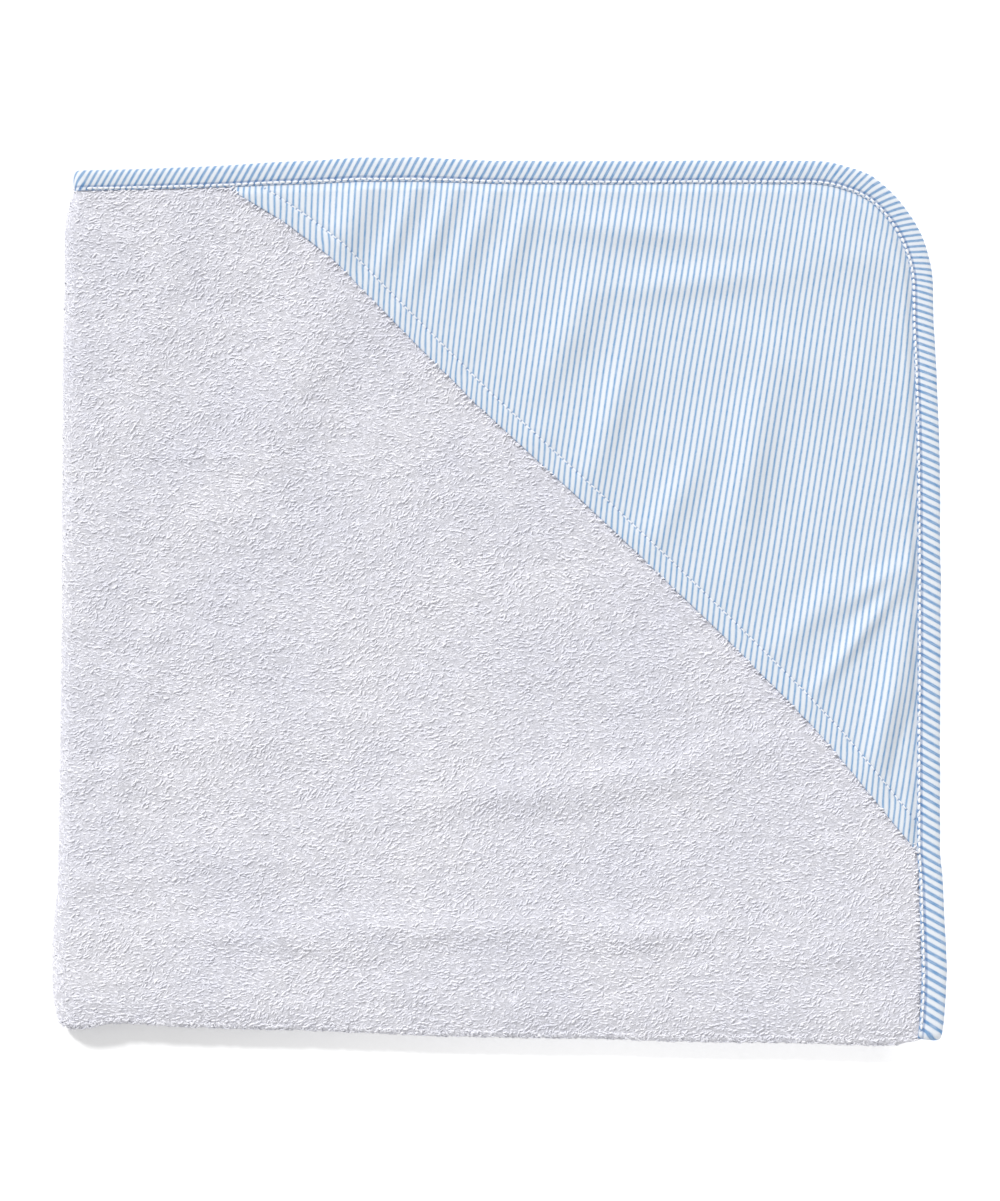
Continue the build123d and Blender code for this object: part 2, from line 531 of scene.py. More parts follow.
def copies(name, pattern, places, sideways, upwards, scales):
    """One mesh of many copies of a small pattern, each at its place and turned its own way."""
    base = np.array([v.co for v in pattern.data.vertices], float)
    faces = np.array([list(p.vertices) for p in pattern.data.polygons])
    sideways = sideways / np.linalg.norm(sideways, axis=1, keepdims=True)
    across = np.cross(upwards, sideways)
    across /= np.linalg.norm(across, axis=1, keepdims=True)
    upwards = np.cross(sideways, across)
    shape = base[None] * scales[:, None]
    turned = (
        shape[..., 0:1] * sideways[:, None]
        + shape[..., 1:2] * across[:, None]
        + shape[..., 2:3] * upwards[:, None]
    )
    points = (places[:, None] + turned).reshape(-1, 3)
    shifts = (np.arange(len(places)) * len(base))[:, None, None]
    all_faces = (faces[None] + shifts).reshape(-1, faces.shape[1])
    return mesh_piece(name, points, all_faces)


def finish_piece(piece, material, replaced=()):
    """Gives a piece its material and slot, and hides the parts of the frame that it replaces."""
    piece.data.materials.append(material)
    if replaced:
        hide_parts(*replaced)
    return piece


# ---------------------------------------------------------------- materials


def new_group(name, inputs, outputs):
    """An empty shader node group with named sockets."""
    tree = bpy.data.node_groups.new(name, "ShaderNodeTree")
    for socket, kind, default in inputs:
        item = tree.interface.new_socket(socket, in_out="INPUT", socket_type=kind)
        if default is not None:
            item.default_value = default
    for socket, kind in outputs:
        tree.interface.new_socket(socket, in_out="OUTPUT", socket_type=kind)
    return tree, tree.nodes.new("NodeGroupInput"), tree.nodes.new("NodeGroupOutput")


def math_node(tree, operation, a, b=None):
    """A maths node's result. Either input may be a socket or a number."""
    node = tree.nodes.new("ShaderNodeMath")
    node.operation = operation
    for socket, value in zip(node.inputs, (a, b)):
        if isinstance(value, (int, float)):
            socket.default_value = value
        elif value is not None:
            tree.links.new(value, socket)
    return node.outputs[0]


def spread(tree, value, low, high, to_low=0.0, to_high=1.0):
    """A smooth ramp of a value from one range to another."""
    node = tree.nodes.new("ShaderNodeMapRange")
    node.interpolation_type = "SMOOTHSTEP"
    tree.links.new(value, node.inputs["Value"])
    node.inputs["From Min"].default_value = low
    node.inputs["From Max"].default_value = high
    node.inputs["To Min"].default_value = to_low
    node.inputs["To Max"].default_value = to_high
    return node.outputs[0]


def mixed(tree, share, first, second, blend="MIX"):
    """Two colours mixed by a share. Either colour may be a socket or a constant."""
    node = tree.nodes.new("ShaderNodeMix")
    node.data_type = "RGBA"
    node.blend_type = blend
    node.clamp_factor = True
    if isinstance(share, float):
        node.inputs["Factor"].default_value = share
    else:
        tree.links.new(share, node.inputs["Factor"])
    for key, value in (("A", first), ("B", second)):
        socket = [s for s in node.inputs if s.name == key and s.type == "RGBA"][0]
        if isinstance(value, tuple):
            socket.default_value = value
        else:
            tree.links.new(value, socket)
    return [s for s in node.outputs if s.type == "RGBA"][0]


def noise(tree, vector, scale, detail=2.0, roughness=0.5):
    """Soft random values from about 0 to 1."""
    node = tree.nodes.new("ShaderNodeTexNoise")
    node.inputs["Scale"].default_value = scale
    node.inputs["Detail"].default_value = detail
    node.inputs["Roughness"].default_value = roughness
    tree.links.new(vector, node.inputs["Vector"])
    return node.outputs["Fac"]


def scaled(tree, vector, factors):
    """A vector stretched by a factor on each axis."""
    node = tree.nodes.new("ShaderNodeMapping")
    node.inputs["Scale"].default_value = factors
    tree.links.new(vector, node.inputs["Vector"])
    return node.outputs[0]


def yarn_group():
    """Uneven yarn: patches of shade, short lying strands that are lighter where raised and darker between as
    painted highlight and shade, and a fine twist for bump, on metres.
    """
    name = "Uneven yarn"
    if name in bpy.data.node_groups:
        return bpy.data.node_groups[name]
    tree, given, result = new_group(
        name,
        [
            ("Vector", "NodeSocketVector", None),
            ("Color", "NodeSocketColor", (0.8, 0.8, 0.8, 1)),
            ("Patches", "NodeSocketFloat", 0.06),
            ("Twist", "NodeSocketFloat", 2200.0),
            ("Strands", "NodeSocketFloat", 0.0),
        ],
        [("Color", "NodeSocketColor"), ("Height", "NodeSocketFloat"), ("Roughness", "NodeSocketFloat")],
    )
    vector = given.outputs["Vector"]
    wide = noise(tree, vector, 22.0, 3.0)
    fine = noise(tree, scaled(tree, vector, (260.0, 520.0, 400.0)), 1.0, 2.0, 0.6)
    wide_part = math_node(tree, "MULTIPLY", wide, 0.55)
    fine_part = math_node(tree, "MULTIPLY", fine, 0.45)
    both = math_node(tree, "ADD", wide_part, fine_part)
    shade = spread(tree, both, 0.3, 0.7)
    amount = math_node(tree, "MULTIPLY", shade, given.outputs["Patches"])
    darker = mixed(tree, 1.0, given.outputs["Color"], (0.80, 0.82, 0.90, 1), "MULTIPLY")
    colour = mixed(tree, math_node(tree, "MULTIPLY", amount, 5.0), given.outputs["Color"], darker)
    twist = tree.nodes.new("ShaderNodeTexNoise")
    tree.links.new(vector, twist.inputs["Vector"])
    tree.links.new(given.outputs["Twist"], twist.inputs["Scale"])
    strands = noise(tree, scaled(tree, vector, (620.0, 1350.0, 900.0)), 1.0, 1.0)
    strands.node.inputs["Distortion"].default_value = 1.2
    lit = spread(tree, strands, 0.36, 0.64, -0.5, 0.5)
    raised = math_node(tree, "MULTIPLY", lit, given.outputs["Strands"])
    # Painted highlight and shade: the strands are lighter where raised and darker between them.
    tone = math_node(tree, "ADD", math_node(tree, "MULTIPLY", raised, 0.22), 1.0)
    colour = mixed(tree, 1.0, colour, tone, "MULTIPLY")
    height = math_node(tree, "ADD", twist.outputs["Fac"], math_node(tree, "MULTIPLY", raised, 1.3))
    tree.links.new(colour, result.inputs["Color"])
    tree.links.new(height, result.inputs["Height"])
    tree.links.new(spread(tree, fine, 0.2, 0.8, 0.82, 0.98), result.inputs["Roughness"])
    return tree


def weave_group():
    """Plain-woven cotton with fine stripes. Vector counts stripes in X, with Y in the same unit."""
    name = "Striped weave"
    if name in bpy.data.node_groups:
        return bpy.data.node_groups[name]
    tree, given, result = new_group(
        name,
        [
            ("Vector", "NodeSocketVector", None),
            ("White", "NodeSocketColor", (0.8, 0.8, 0.8, 1)),
            ("Blue", "NodeSocketColor", (0.2, 0.4, 0.7, 1)),
            ("Blue share", "NodeSocketFloat", 0.36),
            ("Threads", "NodeSocketFloat", 8.0),
        ],
        [("Color", "NodeSocketColor"), ("Height", "NodeSocketFloat"), ("Roughness", "NodeSocketFloat")],
    )
    vector = given.outputs["Vector"]
    split = tree.nodes.new("ShaderNodeSeparateXYZ")
    tree.links.new(vector, split.inputs[0])
    across, along = split.outputs[0], split.outputs[1]
    slub = noise(tree, scaled(tree, vector, (7.0, 0.9, 1.0)), 1.0, 3.0, 0.6)
    fleck = noise(tree, scaled(tree, vector, (9.0, 3.5, 1.0)), 1.0, 2.0, 0.7)
    jitter = math_node(tree, "MULTIPLY", math_node(tree, "SUBTRACT", fleck, 0.5), 0.10)
    place = math_node(tree, "FRACT", math_node(tree, "ADD", across, jitter))
    from_middle = math_node(tree, "ABSOLUTE", math_node(tree, "SUBTRACT", place, 0.5))
    half = math_node(tree, "MULTIPLY", given.outputs["Blue share"], 0.5)
    beyond = math_node(tree, "SUBTRACT", from_middle, half)
    stripe = spread(tree, beyond, -0.10, 0.085, 1.0, 0.0)
    faded = math_node(tree, "MULTIPLY", stripe, spread(tree, slub, 0.25, 0.75, 1.0, 0.62))
    beside = spread(tree, beyond, 0.0, 0.30, 0.22, 0.0)
    halo = math_node(tree, "MULTIPLY", beside, spread(tree, fleck, 0.3, 0.7))
    blueness = math_node(tree, "MAXIMUM", faded, halo)
    colour = mixed(tree, blueness, given.outputs["White"], given.outputs["Blue"])
    pick = math_node(tree, "MULTIPLY", given.outputs["Threads"], math.tau)
    warp = math_node(tree, "SINE", math_node(tree, "MULTIPLY", across, pick))
    weft = math_node(tree, "SINE", math_node(tree, "MULTIPLY", along, pick))
    weave = math_node(tree, "MULTIPLY", warp, weft)
    threads = math_node(tree, "MULTIPLY", weave, 0.5)
    height = math_node(tree, "ADD", threads, math_node(tree, "MULTIPLY", fleck, 0.8))
    shade = spread(tree, weave, -1.0, 1.0, 0.0, 0.10)
    colour = mixed(tree, shade, colour, (0.45, 0.52, 0.62, 1))
    tree.links.new(colour, result.inputs["Color"])
    tree.links.new(height, result.inputs["Height"])
    tree.links.new(spread(tree, slub, 0.3, 0.7, 0.72, 0.9), result.inputs["Roughness"])
    return tree


def cloth_material(name, sheen):
    """A new matt cloth material with a soft sheen, its node tree and its shader."""
    material = bpy.data.materials.new(name)
    material.use_nodes = True
    tree = material.node_tree
    shader = tree.nodes["Principled BSDF"]
    shader.inputs["Sheen Weight"].default_value = sheen
    shader.inputs["Sheen Roughness"].default_value = 0.5
    shader.inputs["Specular IOR Level"].default_value = 0.25
    return material, tree, shader


def bumped(tree, shader, height, strength, distance):
    """Turns a height into fine relief on a shader."""
    bump = tree.nodes.new("ShaderNodeBump")
    bump.inputs["Strength"].default_value = strength
    bump.inputs["Distance"].default_value = distance
    tree.links.new(height, bump.inputs["Height"])
    tree.links.new(bump.outputs["Normal"], shader.inputs["Normal"])


def yarn_material(name, colour, patches, twist, sheen, bump, strands=0.0):
    """Cotton yarn, for the terry and for the sewing thread."""
    if name in bpy.data.materials:
        return bpy.data.materials[name]
    material, tree, shader = cloth_material(name, sheen)
    place = tree.nodes.new("ShaderNodeTexCoord")
    yarn = tree.nodes.new("ShaderNodeGroup")
    yarn.node_tree = yarn_group()
    yarn.inputs["Color"].default_value = (*colour, 1)
    yarn.inputs["Patches"].default_value = patches
    yarn.inputs["Twist"].default_value = twist
    yarn.inputs["Strands"].default_value = strands
    tree.links.new(place.outputs["Object"], yarn.inputs["Vector"])
    tree.links.new(yarn.outputs["Color"], shader.inputs["Base Color"])
    tree.links.new(yarn.outputs["Roughness"], shader.inputs["Roughness"])
    bumped(tree, shader, yarn.outputs["Height"], bump, 0.4 * MM)
    return material


def terry_material():
    """The ground cloth, darker than the loops as painted shade between them, with lying strands for the faces
    that carry no loops.
    """
    return yarn_material("Terry ground", colours().ground, 0.07, 2600.0, 0.3, 0.5, strands=1.0)


def pile_material():
    """The yarn of the loops."""
    return yarn_material("Terry pile", colours().terry, 0.08, 2600.0, 0.3, 0.35)


def thread_material():
    """The white sewing thread."""
    return yarn_material("Sewing thread", colours().thread, 0.05, 4200.0, 0.2, 0.35)


def seam_group():
    """Painted shade of sewn cloth: in the groove beside the row of stitches, as a dark line along the edge
    given as Edge where the cloth meets what lies under it, and round the needle holes, which are partly dark
    of themselves. Vector counts stitches in X, and holds millimetres from the folded edge in Y.
    """
    name = "Seam shade"
    if name in bpy.data.node_groups:
        return bpy.data.node_groups[name]
    tree, given, result = new_group(
        name,
        [
            ("Vector", "NodeSocketVector", None),
            ("Line", "NodeSocketFloat", 9.0),
            ("Edge", "NodeSocketFloat", 10.0),
        ],
        [("Shade", "NodeSocketFloat")],
    )
    split = tree.nodes.new("ShaderNodeSeparateXYZ")
    tree.links.new(given.outputs["Vector"], split.inputs[0])
    stitches, out = split.outputs[0], split.outputs[1]
    line, edge = given.outputs["Line"], given.outputs["Edge"]
    past_line = math_node(tree, "SUBTRACT", out, line)
    from_groove = math_node(tree, "ABSOLUTE", math_node(tree, "ADD", past_line, 0.95))
    # Painted shade in the groove beside the stitches.
    groove = spread(tree, from_groove, 0.15, 0.75, 0.75, 0.0)
    # Painted shadow along the far edge, where the cloth meets what lies under it.
    rim = spread(tree, math_node(tree, "SUBTRACT", out, edge), -0.45, 0.1, 0.0, 0.85)
    share = math_node(tree, "FRACT", math_node(tree, "ADD", stitches, 0.5))
    from_hole = math_node(tree, "ABSOLUTE", math_node(tree, "SUBTRACT", share, 0.5))
    on_line = math_node(tree, "ABSOLUTE", math_node(tree, "SUBTRACT", out, line))
    near_hole = spread(tree, from_hole, 0.06, 0.17, 1.0, 0.0)
    near_line = spread(tree, on_line, 0.3, 0.8, 1.0, 0.0)
    # Needle holes: dark partly as holes, partly as painted shade round them.
    hole = math_node(tree, "MULTIPLY", near_hole, near_line)
    shade = math_node(tree, "MAXIMUM", math_node(tree, "MAXIMUM", groove, rim), hole)
    tree.links.new(shade, result.inputs["Shade"])
    return tree


def striped_material(name="Striped cotton", blue_share=0.36, white_tone=1.0, blue=None, seam_at=None):
    """The striped cotton of the hood and of the binding.

    Sewn cloth gives seam_at, the distances of its stitches and of its far edge, in millimetres, and there
    painted shade darkens it in the groove, along the far edge and round the needle holes.
    """
    if name in bpy.data.materials:
        return bpy.data.materials[name]
    material, tree, shader = cloth_material(name, 0.1)
    cloth = tree.nodes.new("ShaderNodeUVMap")
    cloth.uv_map = "Cloth"
    weave = tree.nodes.new("ShaderNodeGroup")
    weave.node_tree = weave_group()
    weave.inputs["White"].default_value = (*(channel * white_tone for channel in colours().cotton_white), 1)
    weave.inputs["Blue"].default_value = (*(blue or colours().cotton_blue), 1)
    weave.inputs["Blue share"].default_value = blue_share
    tree.links.new(cloth.outputs["UV"], weave.inputs["Vector"])
    colour = weave.outputs["Color"]
    if seam_at is not None:
        place = tree.nodes.new("ShaderNodeUVMap")
        place.uv_map = "Seam"
        seam = tree.nodes.new("ShaderNodeGroup")
        seam.node_tree = seam_group()
        seam.inputs["Line"].default_value = seam_at[0]
        seam.inputs["Edge"].default_value = seam_at[1]
        tree.links.new(place.outputs["UV"], seam.inputs["Vector"])
        # Painted shade of the seam: darkens the cloth in the groove, along its far edge and round the needle
        # holes.
        darker = mixed(tree, 1.0, colour, (0.42, 0.50, 0.66, 1), "MULTIPLY")
        colour = mixed(tree, seam.outputs["Shade"], colour, darker)
    tree.links.new(colour, shader.inputs["Base Color"])
    tree.links.new(weave.outputs["Roughness"], shader.inputs["Roughness"])
    bumped(tree, shader, weave.outputs["Height"], 0.35, 0.12 * MM)
    return material


def binding_material():
    """The binding's cotton, whose blue is darker and more saturated than the hood's: partly its own colour,
    partly painted shade of its tilted, stitched face.
    """
    seam_at = (sizes().seam_line / MM, BINDING_WIDTH / MM)
    return striped_material("Striped binding", 0.45, 1.0, colours().binding_blue_and_shade, seam_at)


def hem_material():
    """The hood's cotton where it is turned under and sewn, with painted shade along its folded edge and round
    its stitches.
    """
    return striped_material("Striped hem", seam_at=(HEM_STITCHES_IN / MM, sizes().hem / MM))


# ---------------------------------------------------------------- the terry


def quarter_low(name):
    """Underside of a quarter, at rest."""
    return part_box(f"terry_{name}")[0].z


def ground_height(x, y, seed):
    """Unevenness of the terry's ground cloth, which also rounds down to the two folds."""
    wrinkles = value_noise(x, y + 0.1 * x, 44 * MM, 9 * MM, seed) * 0.40
    middle = value_noise(x, y, 8 * MM, 4.5 * MM, seed + 1) * 0.24
    to_bottom = 1.7 * np.clip(1 - (y - BOTTOM) / (13 * MM), 0, 1) ** 2
    to_left = 0.4 * np.clip(1 - (x - LEFT) / (8 * MM), 0, 1) ** 2
    return (wrinkles + middle + TERRY_WAVE_RISE * ridges(TERRY_WAVES, x, y) - to_bottom - to_left) * MM


def pile_height(x, y, seed):
    """Lumps of the pile itself, for faces that carry no loops of their own."""
    slanted = y - 0.35 * x
    long_lumps = value_noise(x, slanted, 2.9 * MM, 1.5 * MM, seed + 2)
    fine_lumps = value_noise(x, slanted, 1.6 * MM, 1.1 * MM, seed + 3)
    return (0.26 * long_lumps + 0.16 * fine_lumps) * MM


def quarter_grid(inset, step):
    """Plan of a quarter out to a distance from its bound edges, on a fine grid."""
    edge = HALF - inset
    across = np.linspace(LEFT, edge, int((edge - LEFT) / step) + 1)
    along = np.linspace(BOTTOM, edge, int((edge - BOTTOM) / step) + 1)
    y, x = np.meshgrid(along, across, indexing="ij")
    return round_corner(x, y, edge, sizes().corner_radius - inset)


def from_binding(x, y):
    """Distance from the binding's inner edge, inwards."""
    radius = sizes().corner_radius - BINDING_WIDTH
    centre = INNER - radius
    straight = np.minimum(INNER - x, INNER - y)
    in_corner = (x > centre) & (y > centre)
    return np.where(in_corner, radius - np.hypot(x - centre, y - centre), straight)


def build_quarter(name, seed):
    """One quarter of the terry, thinned where the binding grips it."""
    step = sizes().sheet_step * (1.0 if name == "hood_quarter" else 1.25)
    x, y = quarter_grid(TERRY_INSET, step)
    low = quarter_low(name)
    gripped = smooth_step((from_binding(x, y) + 0.2 * MM) / (2.6 * MM))
    thickness = 0.42 * TERRY + 0.50 * TERRY * gripped
    middle = low + TERRY / 2
    wave = ground_height(x, y, GROUND_SEED) * gripped
    if name != "hood_quarter":
        wave = wave * 0.25
    by_fold = smooth_step(np.minimum(x - LEFT, y - BOTTOM) / (3 * MM))
    lumps = gripped * 0.9 * by_fold
    top = middle + thickness / 2 + wave + pile_height(x, y, seed) * lumps
    under = middle - thickness / 2 + np.maximum(wave, 0) * 0.7 + pile_height(x, y, seed + 7) * lumps
    if name == "hood_quarter":
        pressed = smooth_step(from_hem(x, y) / (9 * MM)) * smooth_step(1.6 - from_binding(x, y) / (12 * MM))
        top -= 0.75 * MM * pressed
    if name == "upper_left":
        under = np.maximum(under, 0.05 * MM)
    face = lay(np.stack([x, y, top], -1))
    back = lay(np.stack([x, y, under], -1))
    piece = closed_sheet(f"looped_terry_{name}", face, back)
    finish_piece(piece, terry_material(), [f"terry_{name}"])
    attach(piece, QUARTERS[name][0])
    return piece


# Folds of the terry: the edge that each lies along, and where its turn starts and ends, in degrees.
FOLDS = {
    "bottom_fold_upper": ("bottom", 90, 270),
    "bottom_fold_lower": ("bottom", 90, 270),
    "left_fold_inner": ("left", 90, 270),
    "left_fold_outer_top": ("left", 90, 180),
    "left_fold_outer_bottom": ("left", 180, 270),
}


def fold_sizes(name):
    """Height of a fold's middle, and its outer and inner radius."""
    low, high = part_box(name)
    if name.startswith("left_fold_outer"):
        radius = STACK_MIDDLE
        return STACK_MIDDLE, radius, radius - TERRY
    return (low.z + high.z) / 2, (high.z - low.z) / 2, 0.25 * MM


def fold_point(kind, along, angle, radius, middle):
    """A point on cloth that goes round a fold, from straight above the fold's middle round and under."""
    out = radius * np.cos(angle)
    up = middle + radius * np.sin(angle)
    if kind == "bottom":
        return np.stack([along, BOTTOM_CENTRE + out, up], -1)
    return np.stack([LEFT_CENTRE + out, along, up], -1)


def fold_end_closing(kind, along):
    """Share of the radius that is left towards the closed end of a fold, at the folded corner."""
    if kind == "bottom":
        past = (LEFT + 1 * MM - along) / (4.5 * MM)
    else:
        past = (BOTTOM + 0.4 * MM - along) / (3.4 * MM)
    return np.sqrt(np.clip(1 - np.clip(past, 0, 0.995) ** 2, 0, 1))


def fold_span(kind):
    """Where the cloth of a fold starts, at the folded corner, and ends, under the binding."""
    if kind == "bottom":
        return LEFT - 3.2 * MM, INNER + 1.5 * MM
    return BOTTOM - 2.9 * MM, INNER + 1.5 * MM


def move_with_fold(piece, name):
    """Hangs the two halves of the outer left fold on the quarters that they ride on, each with its own mesh,
    and fixes any other fold piece in place as it lies.
    """
    if name == "left_fold_outer_top":
        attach(piece, "hood_quarter")
        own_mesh(piece)
        return
    if name == "left_fold_outer_bottom":
        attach(piece, "upper_left_quarter")
        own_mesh(piece)
        return
    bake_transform(piece)


def follow_top(name, along, angle):
    """Unevenness that an upper fold shares with the quarter it comes from, fading round the fold."""
    if name not in ("bottom_fold_upper", "left_fold_outer_top"):
        return np.zeros_like(along)
    fixed = np.zeros_like(along) + (BOTTOM if FOLDS[name][0] == "bottom" else LEFT)
    beside = (along, fixed) if FOLDS[name][0] == "bottom" else (fixed, along)
    return ground_height(*beside, GROUND_SEED) * np.clip(np.sin(angle), 0, 1)


def build_fold(name, seed):
    """The terry that goes round one fold."""
    kind, start, end = FOLDS[name]
    middle, outer, bore = fold_sizes(name)
    low, high = fold_span(kind)
    along_places = np.linspace(low, high, int((high - low) / (1.5 * MM)) + 1)
    turns = np.radians(np.linspace(start, end, 11 if end - start > 100 else 9))
    along, angle = np.meshgrid(along_places, turns, indexing="ij")
    closing = fold_end_closing(kind, along)
    arc = angle * outer
    lumps = pile_height(along, arc, seed) * (1 - np.abs(np.sin(angle)))
    lumps = lumps + follow_top(name, along, angle)
    face = fold_point(kind, along, angle, (outer - 0.14 * MM + lumps) * closing, middle)
    back = fold_point(kind, along, angle, bore * closing, middle)
    face[..., 2] = np.maximum(face[..., 2], 0.05 * MM)
    piece = closed_sheet(f"looped_terry_{name}", lay(face), lay(back))
    finish_piece(piece, terry_material(), [name])
    move_with_fold(piece, name)
    return piece


# ---------------------------------------------------------------- the pile of loops


def model_loop():
    """One lying loop of pile yarn, one metre long, wide and high, as a pattern for copies."""
    bpy.ops.object.select_all(action="DESELECT")
    bpy.ops.mesh.primitive_circle_add(vertices=3, radius=0.17, location=(0.33, 0, 0))
    loop = bpy.context.object
    loop.name = "pile_loop_pattern"
    bpy.ops.object.transform_apply(location=True, rotation=True, scale=True)
    bpy.ops.object.mode_set(mode="EDIT")
    bpy.ops.mesh.select_all(action="SELECT")
    bpy.ops.mesh.spin(steps=3, angle=math.pi, center=(0, 0, 0), axis=(0, 1, 0))
    bpy.ops.mesh.select_all(action="SELECT")
    bpy.ops.mesh.normals_make_consistent(inside=False)
    bpy.ops.object.mode_set(mode="OBJECT")
    points = np.array([v.co for v in loop.data.vertices], float)
    span = points.max(0) - points.min(0)
    points = (points - [points[:, 0].mean(), 0, points[:, 2].min()]) / span
    loop.data.vertices.foreach_set("co", points.ravel())
    return loop


def hem_chord():
    """Start and end of the hood's straight hem line, its direction and the direction to the corner."""
    start = np.array([INNER - HOOD_LEG_TOP, INNER])
    end = np.array([INNER, INNER - HOOD_LEG_SIDE])
    along = end - start
    length = np.linalg.norm(along)
    along = along / length
    return start, along, np.array([-along[1], along[0]]), length


def hem_bow(share):
    """How far the hood's free edge bows towards its corner, at shares along it."""
    shares, bows = np.array(HEM_BOW).T
    return np.interp(share, shares, bows * MM)


def from_hem(x, y):
    """Distance of a point from the hood's bowed free edge, towards the corner."""
    start, along, inward, length = hem_chord()
    share = ((x - start[0]) * along[0] + (y - start[1]) * along[1]) / length
    depth = (x - start[0]) * inward[0] + (y - start[1]) * inward[1]
    return depth - hem_bow(share)


def loop_directions(x, y, random):
    """Which way the loops lie: mostly across and a little up to the right, in drifting patches."""
    drift = value_noise(x, y, 22 * MM, 16 * MM, 301) * 0.45
    own = random.normal(0.0, 0.42, len(x))
    return 0.30 + drift + own


def loop_scales(count, random, length=1.0):
    """Length, thickness and height of each loop, all a little uneven."""
    s = sizes()
    scales = np.empty((count, 3))
    scales[:, 0] = s.loop_length * length * random.uniform(0.62, 1.35, count)
    scales[:, 1] = s.yarn * random.uniform(0.85, 1.25, count)
    scales[:, 2] = s.loop_height * random.uniform(0.75, 1.25, count)
    return scales


def scatter_quarter_loops(pattern, name, box, seed):
    """Loops of the top quarter's pile, within one part of it."""
    random = np.random.default_rng(seed)
    step = sizes().loop_spacing
    rows = np.arange(box[2], box[3], step * 0.82)
    columns = np.arange(box[0], box[1], step * 1.22)
    y, x = (a.ravel() for a in np.meshgrid(rows, columns, indexing="ij"))
    x = x + random.uniform(-0.62, 0.62, len(x)) * step
    y = y + random.uniform(-0.55, 0.55, len(y)) * step
    edge = np.where(from_hem(x, y) > 2 * MM, 16 * MM, 0.3 * MM)
    inside = (from_binding(x, y) > edge) & (from_hem(x, y) < PILE_UNDER_HOOD)
    inside &= (x > LEFT - 1.6 * MM) & (y > BOTTOM - 1.6 * MM)
    x, y = x[inside], y[inside]
    turn = loop_directions(x, y, random)
    lean = random.normal(0.0, 0.75, len(x))
    flat = np.stack([np.cos(turn), np.sin(turn), random.normal(0, 0.12, len(x))], -1)
    up = np.stack([-np.sin(turn) * np.sin(lean), np.cos(turn) * np.sin(lean), np.cos(lean)], -1)
    past_left = np.clip(LEFT - x, 0, None)
    past_bottom = np.clip(BOTTOM - y, 0, None)
    round_the_fold = past_left ** 2 / (13 * MM) + past_bottom ** 2 / (6.3 * MM)
    base = STACK_TOP - 0.60 * MM + ground_height(x, y, GROUND_SEED) - round_the_fold
    under_hood = smooth_step((from_hem(x, y) - 1.0 * MM) / (2 * MM))
    by_hem = np.exp(-(((from_hem(x, y) + 0.3 * MM) / (0.9 * MM)) ** 2)) * random.uniform(0, 1, len(x))
    scales = loop_scales(len(x), random)
    scales[:, 2] *= (1 - 0.5 * under_hood) * (1 + 0.8 * by_hem)
    places = lay(np.stack([x, y, base + (0.45 * by_hem - 0.1 * under_hood) * MM], -1))
    piece = copies(name, pattern, places, flat, up, scales)
    finish_piece(piece, pile_material())
    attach(piece, "hood_quarter")
    return piece


def scatter_fold_loops(pattern, name, density, seed):
    """Loops of the pile on the outside of one fold."""
    random = np.random.default_rng(seed)
    kind, start, end = FOLDS[name]
    middle, outer, _ = fold_sizes(name)
    low, high = fold_span(kind)
    arc = math.radians(end - start) * outer
    count = int((high - low) * arc / (sizes().loop_spacing ** 2) * density)
    along = random.uniform(low, high - 1.5 * MM, count)
    angle = np.radians(random.uniform(start + 9, end, count))
    closing = fold_end_closing(kind, along)
    follow = follow_top(name, along, angle)
    places = fold_point(kind, along, angle, (outer - 0.55 * MM + follow) * closing, middle)
    ahead = fold_point(kind, along, angle, (outer + follow) * closing, middle)
    outwards = ahead - places
    outwards /= np.linalg.norm(outwards, axis=1, keepdims=True)
    line = np.zeros((count, 3))
    line[:, 0 if kind == "bottom" else 1] = 1.0
    round_fold = np.cross(outwards, line)
    turn = random.normal(0.1 if kind == "bottom" else 0.9, 0.6, count)[:, None]
    sideways = line * np.cos(turn) + round_fold * np.sin(turn)
    lean = random.normal(0.0, 0.45, count)[:, None]
    up = outwards * np.cos(lean) + np.cross(outwards, sideways) * np.sin(lean)
    places[:, 2] = np.maximum(places[:, 2], 0.5 * MM)
    piece = copies(f"pile_{name}", pattern, lay(places), sideways, up, loop_scales(count, random, 0.85))
    co = np.array([v.co for v in piece.data.vertices])
    co[:, 2] = np.maximum(co[:, 2], 0.02 * MM)
    piece.data.vertices.foreach_set("co", co.ravel())
    finish_piece(piece, pile_material())
    move_with_fold(piece, name)
    return piece


# ---------------------------------------------------------------- the binding


def edge_lengths():
    """Length of the bound edge's top stretch, its rounded corner and its side stretch."""
    radius = sizes().corner_radius
    corner = HALF - radius
    return corner - LEFT, radius * math.pi / 2, corner - BOTTOM


def edge_point(s, n):
    """Point on the quarter's bound edge: s along it from the left fold, n inwards from its outer line."""
    top, arc, _ = edge_lengths()
    radius = sizes().corner_radius
    corner = HALF - radius
    angle = math.pi / 2 - np.clip((s - top) / radius, 0, math.pi / 2)
    x = corner + (radius - n) * np.cos(angle)
    y = corner + (radius - n) * np.sin(angle)
    x = np.where(s < top, LEFT + s, x)
    y = np.where(s > top + arc, corner - (s - top - arc), y)
    return x, y


def binding_half(n, full):
    """Half thickness of the binding at a distance from its outer edge, full at its fattest."""
    return np.interp(n, BINDING_COLUMNS, BINDING_FULLNESS) * full


def seam_length(s):
    """Length along the row of stitches that holds the binding, at a place along the bound edge."""
    top, arc, _ = edge_lengths()
    shorter = 1 - sizes().seam_line / sizes().corner_radius
    return s - np.clip(s - top, 0, arc) * (1 - shorter)


def seam_ends():
    """Where the row of stitches starts and ends, and how many stitches it holds."""
    start = 1.0 * MM
    end = float(seam_length(np.array(sum(edge_lengths())))) - 1.0 * MM
    return start, end, int((end - start) / sizes().stitch)


